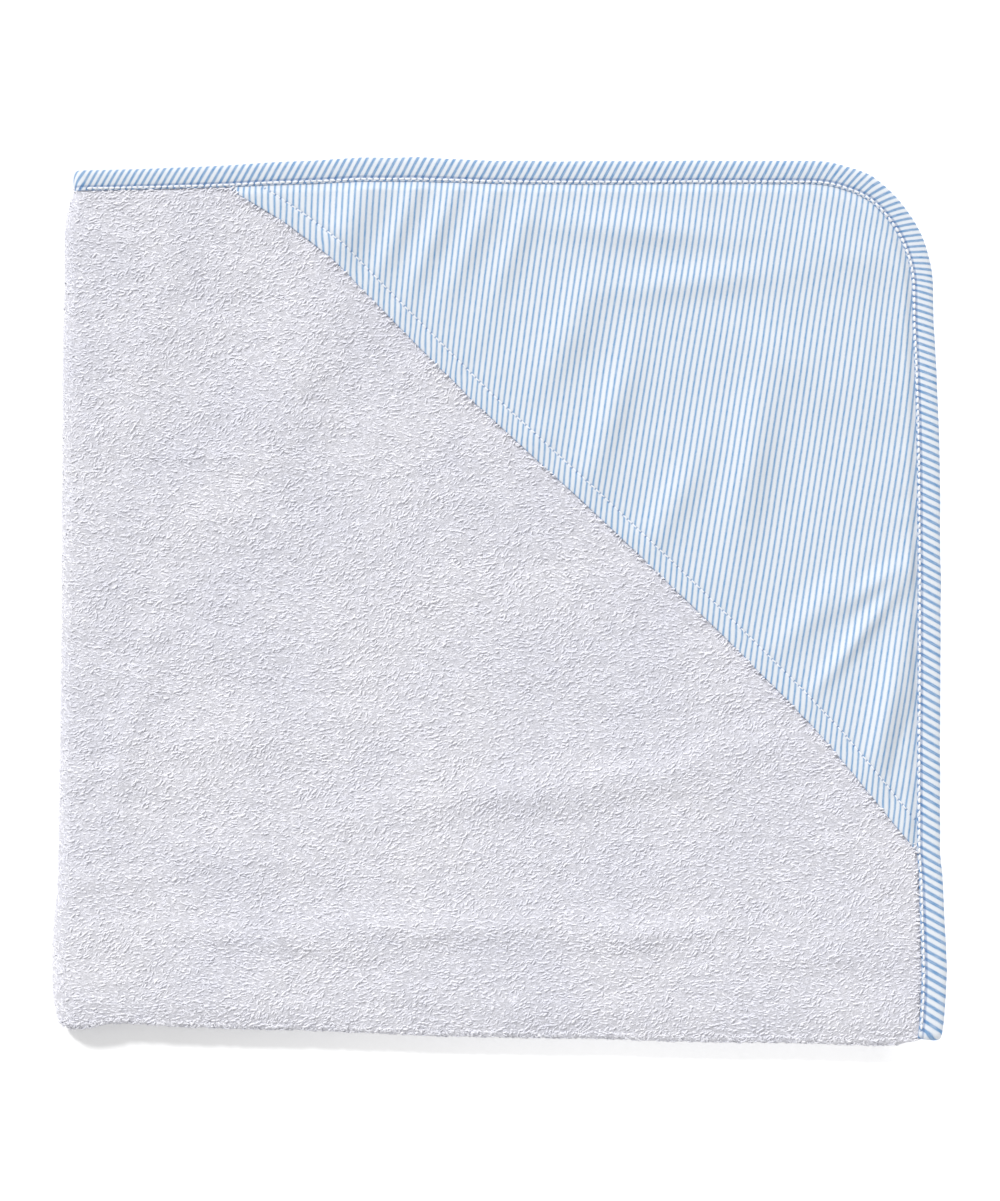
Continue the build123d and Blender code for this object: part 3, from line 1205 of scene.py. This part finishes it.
def seam_uv(s, n):
    """Stitches counted along the binding, and millimetres from its outer edge."""
    start, end, count = seam_ends()
    counted = (seam_length(s) - start) / (end - start) * count
    return np.stack([counted, n / MM], -1)


def bias(s):
    """Spacing of the stripes along the outer edge, and how they slant, at places along the binding."""
    top, arc, side = edge_lengths()
    places = [0, top, top + arc / 2, top + arc, top + arc + side * 0.35, top + arc + side]
    spacing = np.interp(s, places, np.array([3.15, 3.1, 2.95, 2.8, 3.5, 3.8]) * MM)
    slant = np.interp(s, places, [0.58, 0.52, 0.40, 0.28, 0.55, 0.62])
    return spacing, slant


def binding_uv(s, unrolled):
    """Stripes counted along the binding, slanted across it, and the distance along a stripe."""
    places = np.arange(0, sum(edge_lengths()) + 0.02, 1 * MM)
    counted = np.cumsum(1 * MM / bias(places)[0])
    spacing, slant = bias(s)
    stripes = np.interp(s, places, counted) + s.clip(max=0) / spacing + slant * unrolled / spacing
    return np.stack([stripes, unrolled / sizes().stripe], -1)


def binding_layers(s, n):
    """The binding's stripes and stitches, on its face and on its back."""
    stitches = seam_uv(s, n)
    return [("Cloth", binding_uv(s, n), binding_uv(s, -n)), ("Seam", stitches, stitches)]


def binding_level(name):
    """Middle height and half thickness of a quarter's binding."""
    low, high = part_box(f"binding_{name}")
    if name == "hood_quarter":
        return (low.z + high.z) / 2 + 0.1 * MM, (high.z - low.z) / 2 + 0.25 * MM
    return (low.z + high.z) / 2, (high.z - low.z) / 2


def seam_relief(s, n):
    """Puckers and gathers of the binding's face along its row of stitches."""
    pucker = np.sin(math.tau * s / sizes().stitch + 1.5 * value_noise(s, n, 20 * MM, 20 * MM, 71))
    gather = value_noise(s, n, 5 * MM, 30 * MM, 72)
    near_seam = np.exp(-((n - sizes().seam_line) / (2.8 * MM)) ** 2)
    return (0.10 * pucker + 0.16 * gather) * MM * near_seam


def build_binding(name, step):
    """The striped strip folded over one quarter's two free edges."""
    middle, full = binding_level(name)
    total = sum(edge_lengths())
    s_places = np.linspace(0, total, int(total / step) + 1)
    s, n = np.meshgrid(s_places, BINDING_COLUMNS, indexing="ij")
    half = binding_half(n, full)
    top = middle + half + seam_relief(s, n)
    under = middle - half
    edge_drift = value_noise(s, s * 0, 12 * MM, 1.0, 73) * 0.18 * MM * (1 - n / BINDING_WIDTH)
    x, y = edge_point(s, n + edge_drift)
    face = lay(np.stack([x, y, top], -1))
    back = lay(np.stack([x, y, under], -1))
    piece = closed_sheet(f"striped_binding_{name}", face, back, binding_layers(s, n))
    weld(piece)
    finish_piece(piece, binding_material(), [f"binding_{name}"])
    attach(piece, QUARTERS[name][0])
    return piece


def build_binding_fold(name):
    """The binding that goes round one fold with the terry."""
    kind, start, end = FOLDS[name]
    middle, outer, _ = fold_sizes(name)
    mean = outer - TERRY / 2
    full = TERRY / 2 - 0.05 * MM
    total = sum(edge_lengths())
    turns = np.radians(np.linspace(start, end, 21 if end - start > 100 else 13))
    angle, n = np.meshgrid(turns, BINDING_COLUMNS, indexing="ij")
    half = binding_half(n, full)
    travelled = (angle - math.pi / 2) * mean
    s = total + travelled if kind == "bottom" else -travelled
    lift = np.zeros_like(half)
    if name in ("bottom_fold_upper", "left_fold_outer_top"):
        top_middle, top_full = binding_level("hood_quarter")
        proud = top_middle + binding_half(n, top_full) - (middle + mean + half)
        share = np.abs(angle - math.pi / 2) / math.radians(end - start)
        lift = (proud + seam_relief(s, n)) * (1 - smooth_step(share))
    across = HALF - n
    face = fold_point(kind, across, angle, mean + half + lift, middle)
    back = fold_point(kind, across, angle, np.maximum(mean - half, 0.1 * MM), middle)
    piece = closed_sheet(f"striped_binding_{name}", lay(face), lay(back), binding_layers(s, n))
    weld(piece)
    finish_piece(piece, binding_material(), [f"binding_{name}"])
    move_with_fold(piece, name)
    return piece


# ---------------------------------------------------------------- the stitches


def model_stitch():
    """One stitch, one metre long, wide and high, as a pattern for copies."""
    bpy.ops.object.select_all(action="DESELECT")
    bpy.ops.mesh.primitive_uv_sphere_add(segments=8, ring_count=6, radius=0.5, rotation=(0, math.pi / 2, 0))
    stitch = bpy.context.object
    stitch.name = "stitch_pattern"
    bpy.ops.object.transform_apply(location=True, rotation=True, scale=True)
    bpy.ops.object.mode_set(mode="EDIT")
    bpy.ops.mesh.select_all(action="SELECT")
    bpy.ops.mesh.quads_convert_to_tris()
    bpy.ops.object.mode_set(mode="OBJECT")
    return stitch


def row_of_stitches(name, pattern, points, travelled, count, up, width, seed):
    """Stitches end to end along a line of points, at equal steps of the length travelled."""
    random = np.random.default_rng(seed)
    step = (travelled[-1] - travelled[0]) / count
    centres = travelled[0] + (np.arange(count) + 0.5) * step

    def at(places):
        return np.stack([np.interp(places, travelled, points[:, k]) for k in range(3)], -1)

    here = at(centres)
    ahead = at(centres + 0.3 * step) - at(centres - 0.3 * step)
    ahead += random.normal(0, 0.04, ahead.shape) * step * np.array([1, 1, 0])
    scales = np.empty((count, 3))
    scales[:, 0] = step * 0.86 * random.uniform(0.92, 1.06, count)
    scales[:, 1] = width * random.uniform(0.88, 1.12, count)
    scales[:, 2] = width * 0.75
    ups = np.broadcast_to(np.array(up, float), here.shape)
    return copies(name, pattern, here, ahead, ups, scales)


def stitch_binding(name, pattern, seed):
    """The row of topstitch on the hooded face of one quarter's binding."""
    middle, full = binding_level(name)
    face_up = QUARTERS[name][1]
    side = 1 if face_up else -1
    start, end, count = seam_ends()
    total = sum(edge_lengths())
    s = np.linspace(0, total, 1600)
    travelled = seam_length(s)
    inside = (travelled >= start) & (travelled <= end)
    s, travelled = s[inside], travelled[inside]
    line_place = sizes().seam_line
    x, y = edge_point(s, np.full_like(s, line_place))
    height = float(binding_half(line_place, full)) + 0.12 * MM
    line = lay(np.stack([x, y, np.full_like(s, middle + side * height)], -1))
    width = sizes().binding_thread
    piece = row_of_stitches(
        f"binding_stitches_{name}", pattern, line, travelled, count, (0, 0, side), width, seed
    )
    finish_piece(piece, thread_material(), [f"binding_stitching_{name}"])
    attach(piece, QUARTERS[name][0])
    return piece


# ---------------------------------------------------------------- the hood


def split_share():
    """Where along the hem the hood's two halves meet: straight across from the square corner."""
    start, along, _, length = hem_chord()
    return float(((INNER - start[0]) * along[0] + (INNER - start[1]) * along[1]) / length)


def hood_plan(share, depth):
    """Plan of the hood, from a share along its hem line and a depth from that line to the corner."""
    start, along, inward, length = hem_chord()
    bowed = depth + hem_bow(share) * np.clip(1 - depth / HEM_BOW_REACH, 0, 1)
    x = start[0] + along[0] * share * length + inward[0] * bowed
    y = start[1] + along[1] * share * length + inward[1] * bowed
    return x, y


def reach_to_binding(share, under):
    """Depth from the hem line at which the hood ends, a little way under the binding."""
    start, along, inward, length = hem_chord()
    x = start[0] + along[0] * share * length
    y = start[1] + along[1] * share * length
    edge = INNER + under
    reach = np.minimum((edge - x) / inward[0], (edge - y) / inward[1])
    radius = sizes().corner_radius - BINDING_WIDTH + under
    centre = edge - radius
    to_x = x - centre
    to_y = y - centre
    b = to_x * inward[0] + to_y * inward[1]
    c = to_x * to_x + to_y * to_y - radius * radius
    root = -b + np.sqrt(np.clip(b * b - c, 0, None))
    hit_x = x + inward[0] * reach
    hit_y = y + inward[1] * reach
    in_corner = (hit_x > centre) & (hit_y > centre)
    return np.where(in_corner, root, reach)


def hood_height(x, y):
    """Height of the hood's cloth over the terry that it lies on."""
    height = 0.45 + 0.12 * value_noise(x, y, 40 * MM, 40 * MM, 201)
    height = height + HOOD_CREASE_RISE * ridges(HOOD_CREASES, x, y)
    height = height + 0.26 * value_noise(x, y, 15 * MM, 15 * MM, 203)
    height = height + 0.10 * value_noise(x, y, 6 * MM, 6 * MM, 204)
    height = np.maximum(height, -0.05)
    inside = from_binding(x, y)
    by_top = smooth_step((x - y + 60 * MM) / (120 * MM))
    pucker_top = value_noise(x, y, 5.5 * MM, 40 * MM, 205)
    pucker_side = value_noise(x, y, 40 * MM, 6.5 * MM, 206)
    pucker = pucker_top * (1 - by_top) + pucker_side * by_top
    return (height + 0.6 * pucker * np.exp(-np.clip(inside, 0, None) / (9 * MM))) * MM


def tuck_under_binding(x, y, z):
    """Brings the hood's height down to where it is held beneath the binding."""
    free = smooth_step((from_binding(x, y) + 0.3 * MM) / (4.2 * MM))
    return SEWN_LEVEL + (z - SEWN_LEVEL) * free


def hem_relief(share, depth):
    """The hem's stitched groove, the folded layers beyond it, and small gathers along the stitches."""
    line = sizes().hem - HEM_STITCHES_IN
    groove = -0.42 * np.exp(-((depth - line) / (1.0 * MM)) ** 2)
    place = share * hem_chord()[3]
    gather = value_noise(place, depth, 4.2 * MM, 30 * MM, 231)
    long_gather = value_noise(place, depth, 11 * MM, 30 * MM, 232)
    beyond = smooth_step((line - depth) / (1.6 * MM))
    layered = 0.45 * beyond - 0.35 * smooth_step((3.5 * MM - depth) / (3.5 * MM))
    near = np.exp(-(np.abs(depth - line) / (5.0 * MM)))
    return (groove + layered + (0.20 * gather + 0.22 * long_gather) * near) * MM


def lower_at_hem(depth):
    """Share of the hood's puffs that is left towards its free edge, which lies flat."""
    return 0.25 + 0.75 * smooth_step(depth / (14 * MM))


def hood_level(x, y, share, depth):
    """Height of the outer face of the hood, at a point and its share and depth from the hem line."""
    z = HOOD_REST + sizes().cotton + lower_at_hem(depth) * hood_height(x, y) + hem_relief(share, depth)
    return tuck_under_binding(x, y, z)


def hood_surface(share, depth):
    """Plan and height of the outer face of the hood."""
    x, y = hood_plan(share, depth)
    return x, y, hood_level(x, y, share, depth)


def hood_stripes(x, y, share, depth):
    """Stripes counted across the hood. They lean to the right, less so at the left and in the hem."""
    right = smooth_step((x + 115 * MM) / (150 * MM))
    lean = 0.03 + 0.125 * right
    drift = 0.6 * MM * value_noise(x, y, 60 * MM, 90 * MM, 211)
    drift = drift + 0.3 * MM * value_noise(x, y, 18 * MM, 40 * MM, 212)
    stitched = sizes().hem - HEM_STITCHES_IN
    in_hem = np.clip(stitched - depth, 0, None)
    _, along, inward, length = hem_chord()
    fall = in_hem * (inward[1] - inward[0] * along[1] / along[0])
    lower = smooth_step((x - 120 * MM) / (40 * MM))
    hem_lean = 0.02 + 0.09 * right - 0.04 * lower
    jog = 0.5 * MM * value_noise(share * length, depth, 7 * MM, 50 * MM, 213) * smooth_step(in_hem / (1 * MM))
    stripes = (x - lean * (y - INNER) - (lean - hem_lean) * fall + drift + jog) / sizes().stripe
    return np.stack([stripes, y / sizes().stripe], -1)


def limit_under_binding(points):
    """Keeps the hood's sewn edges inside the binding."""
    limit = INNER + 4.0 * MM
    points[..., 0] = np.minimum(points[..., 0], limit)
    points[..., 1] = np.minimum(points[..., 1], limit)
    return points


def build_hood_half(name, first, last, body_start, body_end):
    """One half of the hood's panel, from the hem's stitches to under the binding."""
    hem = sizes().hem
    rows = int((last - first) * hem_chord()[3] / (1.5 * MM)) + 1
    share, across = np.meshgrid(np.linspace(first, last, rows), np.linspace(0, 1, 130), indexing="ij")
    far = np.maximum(reach_to_binding(share, 3.0 * MM), hem + 0.2 * MM)
    depth = hem + across * (far - hem)
    x, y, z = hood_surface(share, depth)
    uv = hood_stripes(x, y, share, depth)
    face = limit_under_binding(np.stack([x, y, z], -1))
    back = face - np.array([0, 0, sizes().cotton])
    piece = closed_sheet(f"striped_hood_{name}", lay(face), lay(back), [("Cloth", uv, uv)])
    finish_piece(piece, striped_material(), ["hood_panel", "hood_seam_allowance"])
    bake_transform(piece)
    return piece


def hem_stitch_span(first, last):
    """Shares of the hem line where one half's row of stitches starts and ends, and its stitches."""
    length = hem_chord()[3]
    margin = 16.0 * MM / length
    start, end = max(first, margin), min(last, 1 - margin)
    return start, end, int((end - start) * length / sizes().stitch)


def build_hem_half(name, first, last, body_start, body_end):
    """One half of the hood's hem: the folded edge, from its rounded turn to its stitches."""
    hem = sizes().hem
    rows = int((last - first) * hem_chord()[3] / (1.0 * MM)) + 1
    columns = np.array([0.0, 0.15, 0.5, 1.1, 2.0, 3.2, 4.6, 6.0, 7.0, 7.7, 8.2, 8.6, hem / MM]) * MM
    share, depth = np.meshgrid(np.linspace(first, last, rows), columns, indexing="ij")
    ragged = 0.25 * MM * value_noise(share * hem_chord()[3], depth * 0, 7 * MM, 1.0, 241)
    x, y = hood_plan(share, depth + ragged * np.clip(1 - depth / (3 * MM), 0, 1))
    z = hood_level(x, y, share, depth)
    under = z - 1.1 * MM + 0.3 * MM * smooth_step(depth / sizes().hem)
    turn = np.sqrt(np.clip(1 - (1 - np.clip(depth / (1.1 * MM), 0, 1)) ** 2, 0, 1))
    middle = under + 0.45 * (z - under)
    top = middle + (z - middle) * turn
    low = middle + (under - middle) * turn
    uv = hood_stripes(x, y, share, depth)
    start, end, count = hem_stitch_span(first, last)
    seam = np.stack([(share - start) / (end - start) * count, (hem - depth) / MM], -1)
    face = limit_under_binding(np.stack([x, y, top], -1))
    back = limit_under_binding(np.stack([x, y, low], -1))
    layers = [("Cloth", uv, uv), ("Seam", seam, seam)]
    piece = closed_sheet(f"striped_hood_hem_{name}", lay(face), lay(back), layers)
    weld(piece)
    finish_piece(piece, hem_material(), ["hood_hem"])
    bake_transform(piece)
    return piece


def stitch_hem_half(name, pattern, first, last, seed):
    """The row of stitches that holds one half of the hood's hem."""
    length = hem_chord()[3]
    start, end, count = hem_stitch_span(first, last)
    share = np.linspace(start, end, 700)
    depth = np.full_like(share, sizes().hem - HEM_STITCHES_IN)
    x, y, z = hood_surface(share, depth)
    line = lay(np.stack([x, y, z + 0.05 * MM], -1))
    name = f"hood_hem_stitches_{name}"
    piece = row_of_stitches(name, pattern, line, share * length, count, (0, 0, 1), sizes().thread, seed)
    finish_piece(piece, thread_material(), ["hood_hem_stitching"])
    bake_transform(piece)
    return piece


def hem_middle():
    """Point of the hood's free edge straight across from the square corner."""
    x, y = hood_plan(np.array(split_share()), np.array(0.0))
    return float(x), float(y)


def hood_halves():
    """Each half's name, its shares along the hem, and where it starts and ends following the hood."""
    middle = split_share()
    x, y = hem_middle()
    return [
        ("upper", 0.0, middle, (0, INNER, 0), (0, y, 0)),
        ("lower", middle, 1.0, (INNER, 0, 0), (x, 0, 0)),
    ]


# ---------------------------------------------------------------- operators


class TOWEL_OT_terry(bpy.types.Operator):
    """Build the four quarters of terry and the terry round the folds"""

    bl_idname = "towel.terry"
    bl_label = "Terry"

    def execute(self, context):
        for number, name in enumerate(QUARTERS):
            build_quarter(name, 500 + 20 * number)
        for number, name in enumerate(FOLDS):
            build_fold(name, 700 + 20 * number)
        return {"FINISHED"}


class TOWEL_OT_pile(bpy.types.Operator):
    """Cover the top quarter and the folds in view with loops of pile"""

    bl_idname = "towel.pile"
    bl_label = "Pile of loops"

    def execute(self, context):
        pattern = model_loop()
        # Strips across the quarter, taller where the hood leaves less terry to cover.
        bounds = BOTTOM + (INNER - BOTTOM) * np.array([0, 0.1, 0.2, 0.31, 0.42, 0.54, 0.68, 0.84, 1.0])
        for number in range(len(bounds) - 1):
            box = (LEFT, INNER, bounds[number], bounds[number + 1])
            scatter_quarter_loops(pattern, f"pile_hood_quarter_{number + 1}", box, 900 + number)
        for number, name in enumerate(FOLDS):
            density = 0.95 if name in ("bottom_fold_upper", "left_fold_outer_top") else 0.6
            scatter_fold_loops(pattern, name, density, 950 + number)
        bpy.data.objects.remove(pattern)
        return {"FINISHED"}


class TOWEL_OT_binding(bpy.types.Operator):
    """Build the striped binding of every quarter and fold"""

    bl_idname = "towel.binding"
    bl_label = "Binding"

    def execute(self, context):
        for name in QUARTERS:
            build_binding(name, 0.9 * MM if name == "hood_quarter" else 1.8 * MM)
        for name in FOLDS:
            build_binding_fold(name)
        return {"FINISHED"}


class TOWEL_OT_hood(bpy.types.Operator):
    """Build the hood's panel and hem"""

    bl_idname = "towel.hood"
    bl_label = "Hood"

    def execute(self, context):
        for half in hood_halves():
            build_hood_half(*half)
            build_hem_half(*half)
        return {"FINISHED"}


class TOWEL_OT_stitches(bpy.types.Operator):
    """Sew the binding and the hood's hem with rows of stitches"""

    bl_idname = "towel.stitches"
    bl_label = "Stitches"

    def execute(self, context):
        pattern = model_stitch()
        for number, name in enumerate(QUARTERS):
            stitch_binding(name, pattern, 1100 + number)
        for number, (name, first, last, start, end) in enumerate(hood_halves()):
            stitch_hem_half(name, pattern, first, last, 1200 + number)
        bpy.data.objects.remove(pattern)
        return {"FINISHED"}


class TOWEL_OT_declare(bpy.types.Operator):
    """List the pieces that trim each quarter: its binding and stitches, and for the top quarter the pile and
    the terry round the folds. The lists are not used
    """

    bl_idname = "towel.declare"
    bl_label = "Declare the cloth"

    def execute(self, context):
        named = bpy.data.objects
        below = list(QUARTERS)[1:] + [None]
        for name, under in zip(QUARTERS, below):
            trims = [o for o in named if o.name.startswith("striped_binding") and o.name.endswith(name)]
            trims += [named[f"binding_stitches_{name}"]]
            if name == "hood_quarter":
                trims += [o for o in named if o.name.startswith("pile_")]
                trims += [named[f"looped_terry_{fold}"] for fold in FOLDS]
        return {"FINISHED"}


def floor_painted_glow(tree, shader):
    """A floor that glows a little, less so at its left and most past the towel's right edge: painted light
    that lightens the towel's cast shadow and hides it at the right.
    """
    place = tree.nodes.new("ShaderNodeTexCoord")
    split = tree.nodes.new("ShaderNodeSeparateXYZ")
    tree.links.new(place.outputs["Object"], split.inputs[0])
    # Painted light: the glow rises from left to right, and again past the towel's right edge, to lighten the
    # cast shadow.
    left = spread(tree, split.outputs[0], -1.1 * HALF, 0.35 * HALF, 0.04, 0.30)
    right = spread(tree, split.outputs[0], 0.86 * HALF, 1.04 * HALF, 0.0, 0.35)
    glow = math_node(tree, "ADD", left, right)
    shade = tree.nodes.new("ShaderNodeCombineColor")
    for channel in range(3):
        tree.links.new(glow, shade.inputs[channel])
    tree.links.new(shade.outputs[0], shader.inputs["Emission Color"])
    shader.inputs["Emission Strength"].default_value = 1.0


class TOWEL_OT_stage(bpy.types.Operator):
    """Make the pale floor, the soft light and the camera"""

    bl_idname = "towel.stage"
    bl_label = "Stage"

    def execute(self, context):
        scene = context.scene
        bpy.ops.object.select_all(action="DESELECT")
        bpy.ops.mesh.primitive_plane_add(size=40.0, location=(0, 0, 0))
        floor = context.object
        floor.name = "pale_floor"
        material = bpy.data.materials.new("Pale floor")
        material.use_nodes = True
        shader = material.node_tree.nodes["Principled BSDF"]
        shader.inputs["Base Color"].default_value = (*colours().floor, 1)
        shader.inputs["Roughness"].default_value = 0.9
        shader.inputs["Specular IOR Level"].default_value = 0.0
        floor_painted_glow(material.node_tree, shader)
        floor.data.materials.append(material)

        world = bpy.data.worlds.new("Studio")
        world.use_nodes = True
        world.node_tree.nodes["Background"].inputs["Color"].default_value = (1.0, 1.0, 1.0, 1)
        world.node_tree.nodes["Background"].inputs["Strength"].default_value = 0.72
        scene.world = world

        lamp = bpy.data.lights.new("window_light", "SUN")
        lamp.energy = 2.1
        lamp.angle = math.radians(9)
        light = bpy.data.objects.new("window_light", lamp)
        light.rotation_euler = (math.radians(-50), 0, math.radians(35))
        scene.collection.objects.link(light)

        lens = bpy.data.cameras.new("camera")
        lens.lens = 100.0
        lens.sensor_width = 36.0
        lens.clip_end = 60.0
        camera = bpy.data.objects.new("camera", lens)
        view_side = 519.4 * MM
        distance = view_side * lens.lens / lens.sensor_width
        camera.location = (0, 0, STACK_TOP + distance)
        scene.collection.objects.link(camera)
        scene.camera = camera
        scene.view_settings.view_transform = "Standard"
        return {"FINISHED"}


class TOWEL_PT_panel(bpy.types.Panel):
    """Lists the towel's sizes and colours, and the buttons that build it"""

    bl_label = "Hooded towel"
    bl_idname = "TOWEL_PT_panel"
    bl_space_type = "VIEW_3D"
    bl_region_type = "UI"
    bl_category = "Towel"

    def draw(self, context):
        layout = self.layout
        for group in (context.scene.towel_sizes, context.scene.towel_colours):
            box = layout.box()
            for key in group.__annotations__:
                box.prop(group, key)
        for operator in OPERATORS:
            layout.operator(operator.bl_idname)


OPERATORS = (
    TOWEL_OT_terry,
    TOWEL_OT_pile,
    TOWEL_OT_binding,
    TOWEL_OT_hood,
    TOWEL_OT_stitches,
    TOWEL_OT_declare,
    TOWEL_OT_stage,
)
CLASSES = (TowelSizes, TowelColours, *OPERATORS, TOWEL_PT_panel)


def register():
    for cls in CLASSES:
        bpy.utils.register_class(cls)
    bpy.types.Scene.towel_sizes = bpy.props.PointerProperty(type=TowelSizes)
    bpy.types.Scene.towel_colours = bpy.props.PointerProperty(type=TowelColours)


def unregister():
    del bpy.types.Scene.towel_colours
    del bpy.types.Scene.towel_sizes
    for cls in reversed(CLASSES):
        bpy.utils.unregister_class(cls)


def main():
    register()
    bpy.ops.towel.terry()
    bpy.ops.towel.pile()
    bpy.ops.towel.binding()
    bpy.ops.towel.hood()
    bpy.ops.towel.stitches()
    bpy.ops.towel.declare()
    bpy.ops.towel.stage()


if __name__ == "__main__":
    main()
